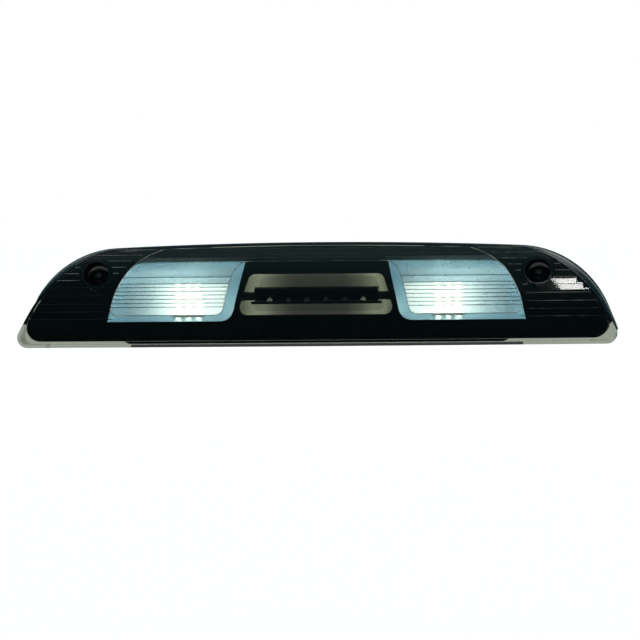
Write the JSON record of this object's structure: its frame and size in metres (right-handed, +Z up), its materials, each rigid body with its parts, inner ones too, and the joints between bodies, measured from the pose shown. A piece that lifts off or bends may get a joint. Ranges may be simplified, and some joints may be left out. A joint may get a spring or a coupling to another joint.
{
  "type": "third brake light",
  "caption": "Wide, low vehicle lamp with a smoked wraparound lens over a middle brake lamp and two cargo lamps, screwed to a cab panel on a foam gasket.",
  "frame": {"origin": "on the cab panel's plane, in the middle of the width, on the centre line of the gasket's lower run", "axes": "+X along the lamp, to the right as the lit face is seen; +Y out of the back, into the cab; +Z up; the lens looks along -Y"},
  "size_m": [0.4496, 0.0882, 0.077],
  "materials": {
    "smoked_lens": "smoked clear plastic, glossy",
    "black_plastic": "fine-grained moulded black",
    "bezel_black": "satin black",
    "foam": "closed-cell foam",
    "seal_rubber": "matt rubber",
    "cargo_reflector": "metallised, bluish",
    "brake_reflector": "metallised, satin",
    "white_board": "white solder mask",
    "black_board": "black solder mask",
    "white_led": "white package with a phosphor face",
    "red_led": "clear dome on a cream base",
    "bar_cover": "dark smoked plastic, glossy",
    "screw_steel": "zinc plated",
    "small_screw_steel": "zinc plated",
    "pin_tin": "tin plated",
    "lead_jacket": "jacketed lead"
  },
  "bodies": {
    "root": {"outer_lens": "smoked_lens", "screw_well_left": "black_plastic", "screw_well_right": "black_plastic", "rear_housing": "black_plastic", "seat_gasket": "foam", "lower_seal": "seal_rubber", "inner_bezel": "bezel_black", "cargo_reflector_left": "cargo_reflector", "cargo_reflector_right": "cargo_reflector", "cargo_board_left": "white_board", "cargo_board_right": "white_board", "brake_reflector": "brake_reflector", "led_bar_carrier": "black_plastic", "led_bar_cover": "bar_cover", "brake_board": "black_board", "mounting_screw_left": "screw_steel", "mounting_screw_right": "screw_steel", "screw_sleeve_left": "screw_steel", "screw_sleeve_right": "screw_steel", "screw_seal_left": "seal_rubber", "screw_seal_right": "seal_rubber", "connector_socket": "black_plastic", "vent_cap": "seal_rubber", "cargo_lead_left": "lead_jacket", "cargo_lead_right": "lead_jacket", "brake_lead": "lead_jacket", "cargo_led_left_1": "white_led", "cargo_led_left_2": "white_led", "cargo_led_left_3": "white_led", "cargo_led_left_4": "white_led", "cargo_led_left_5": "white_led", "cargo_led_left_6": "white_led", "cargo_led_left_7": "white_led", "cargo_led_left_8": "white_led", "cargo_led_left_9": "white_led", "cargo_led_right_1": "white_led", "cargo_led_right_2": "white_led", "cargo_led_right_3": "white_led", "cargo_led_right_4": "white_led", "cargo_led_right_5": "white_led", "cargo_led_right_6": "white_led", "cargo_led_right_7": "white_led", "cargo_led_right_8": "white_led", "cargo_led_right_9": "white_led", "brake_led_1": "red_led", "brake_led_2": "red_led", "brake_led_3": "red_led", "brake_led_4": "red_led", "brake_led_5": "red_led", "brake_led_6": "red_led", "connector_pin_1": "pin_tin", "connector_pin_2": "pin_tin", "connector_pin_3": "pin_tin", "connector_pin_4": "pin_tin", "reflector_screw_1": "small_screw_steel", "reflector_screw_2": "small_screw_steel", "reflector_screw_3": "small_screw_steel", "reflector_screw_4": "small_screw_steel", "reflector_screw_5": "small_screw_steel", "reflector_screw_6": "small_screw_steel"}
  },
  "joints": []
}
